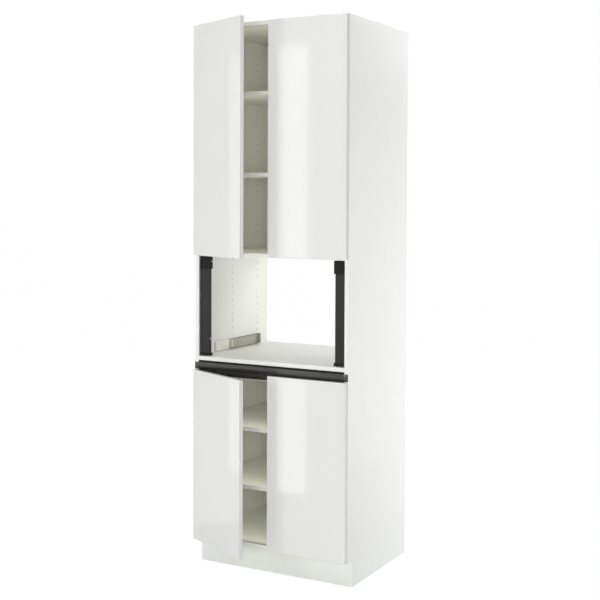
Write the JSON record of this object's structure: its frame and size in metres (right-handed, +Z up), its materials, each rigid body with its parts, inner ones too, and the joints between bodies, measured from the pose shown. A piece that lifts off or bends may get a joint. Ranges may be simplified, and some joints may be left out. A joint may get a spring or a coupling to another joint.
{
  "type": "tall microwave cabinet",
  "caption": "Tall white kitchen cabinet with an open bay for a built-in microwave, gloss doors above and below on concealed hinges, and a recessed plinth.",
  "frame": {"origin": "on the floor, under the middle of the plinth front board", "axes": "+X to the right seen from the front, +Y to the back, +Z up"},
  "size_m": [0.762, 0.7754, 2.4],
  "materials": {
    "gloss_white_front": "chipboard wrapped in high-gloss white foil",
    "white_board": "melamine-faced chipboard, fine satin white",
    "white_hardboard": "white-lacquered hardboard",
    "white_plinth": "foil-wrapped chipboard, satin white",
    "nickel_steel": "nickel-plated pressed steel",
    "zinc_steel": "bright zinc-plated steel",
    "galvanised_steel": "galvanised sheet steel",
    "black_aluminium": "black anodised extrusion",
    "black_lacquered_steel": "black powder-coated sheet",
    "black_plastic": "moulded black plastic, fine grain",
    "leg_plastic": "moulded black polypropylene",
    "clear_buffer": "soft translucent pad"
  },
  "bodies": {
    "carcass": {"arm_pins": "zinc_steel", "back_panel_lower": "white_hardboard", "back_panel_upper": "white_hardboard", "bay_floor_panel": "white_board", "bay_roof_panel": "white_board", "bottom_panel": "white_board", "cam_connectors": "zinc_steel", "duct_floor_panel": "white_board", "hinge_arms": "nickel_steel", "leg_feet": "leg_plastic", "leg_sockets": "leg_plastic", "leg_stems": "leg_plastic", "mounting_plates": "nickel_steel", "pan_head_screws": "zinc_steel", "plate_screws": "zinc_steel", "plinth_clips": "leg_plastic", "plinth_front": "white_plinth", "plinth_side_left": "white_plinth", "plinth_side_right": "white_plinth", "shelf_1": "white_board", "shelf_2": "white_board", "shelf_3": "white_board", "shelf_4": "white_board", "shelf_pins": "zinc_steel", "side_panel_left": "white_board", "side_panel_right": "white_board", "support_rail_left": "galvanised_steel", "support_rail_right": "galvanised_steel", "top_panel": "white_board", "trim_caps": "black_plastic", "trim_left": "black_lacquered_steel", "trim_right": "black_lacquered_steel", "trim_shoes": "black_plastic", "ventilation_profile": "black_aluminium", "wall_brackets": "zinc_steel"},
    "links_upper_left": {"hinge_links_upper_left": "nickel_steel"},
    "door_upper_left_leaf": {"door_upper_left": "gloss_white_front", "hinge_cups_upper_left": "nickel_steel", "cup_screws_upper_left": "zinc_steel", "link_pins_upper_left": "zinc_steel", "door_buffers_upper_left": "clear_buffer"},
    "links_upper_right": {"hinge_links_upper_right": "nickel_steel"},
    "door_upper_right_leaf": {"door_upper_right": "gloss_white_front", "hinge_cups_upper_right": "nickel_steel", "cup_screws_upper_right": "zinc_steel", "link_pins_upper_right": "zinc_steel", "door_buffers_upper_right": "clear_buffer"},
    "links_lower_left": {"hinge_links_lower_left": "nickel_steel"},
    "door_lower_left_leaf": {"door_lower_left": "gloss_white_front", "hinge_cups_lower_left": "nickel_steel", "cup_screws_lower_left": "zinc_steel", "link_pins_lower_left": "zinc_steel", "door_buffers_lower_left": "clear_buffer"},
    "links_lower_right": {"hinge_links_lower_right": "nickel_steel"},
    "door_lower_right_leaf": {"door_lower_right": "gloss_white_front", "hinge_cups_lower_right": "nickel_steel", "cup_screws_lower_right": "zinc_steel", "link_pins_lower_right": "zinc_steel", "door_buffers_lower_right": "clear_buffer"}
  },
  "joints": [
    {"name": "link_pivot_upper_left", "type": "hinge", "parent": "carcass", "child": "links_upper_left", "pos_m": [-0.344, -0.061, 1.892], "axis": [0, 0, 1], "range_deg": [-7.27, 24.67]},
    {"name": "door_swing_upper_left", "type": "hinge", "parent": "links_upper_left", "child": "door_upper_left_leaf", "pos_m": [-0.36581, -0.07184, 1.892], "axis": [0, 0, -1], "range_deg": [-32.25, 109.65]},
    {"name": "link_pivot_upper_right", "type": "hinge", "parent": "carcass", "child": "links_upper_right", "pos_m": [0.344, -0.061, 1.892], "axis": [0, 0, -1], "range_deg": [0, 31.92]},
    {"name": "door_swing_upper_right", "type": "hinge", "parent": "links_upper_right", "child": "door_upper_right_leaf", "pos_m": [0.367, -0.069, 1.892], "axis": [0, 0, 1], "range_deg": [0, 141.9]},
    {"name": "link_pivot_lower_left", "type": "hinge", "parent": "carcass", "child": "links_lower_left", "pos_m": [-0.344, -0.061, 0.495], "axis": [0, 0, 1], "range_deg": [-7.27, 24.67]},
    {"name": "door_swing_lower_left", "type": "hinge", "parent": "links_lower_left", "child": "door_lower_left_leaf", "pos_m": [-0.36581, -0.07184, 0.495], "axis": [0, 0, -1], "range_deg": [-32.25, 109.65]},
    {"name": "link_pivot_lower_right", "type": "hinge", "parent": "carcass", "child": "links_lower_right", "pos_m": [0.344, -0.061, 0.495], "axis": [0, 0, -1], "range_deg": [0, 31.92]},
    {"name": "door_swing_lower_right", "type": "hinge", "parent": "links_lower_right", "child": "door_lower_right_leaf", "pos_m": [0.367, -0.069, 0.495], "axis": [0, 0, 1], "range_deg": [0, 141.9]}
  ],
  "couplings": [
    {"joint": "link_pivot_upper_left", "follows": "door_swing_upper_left", "ratio": 0.22481},
    {"joint": "link_pivot_upper_right", "follows": "door_swing_upper_right", "ratio": 0.22481},
    {"joint": "link_pivot_lower_left", "follows": "door_swing_lower_left", "ratio": 0.22481},
    {"joint": "link_pivot_lower_right", "follows": "door_swing_lower_right", "ratio": 0.22481}
  ]
}
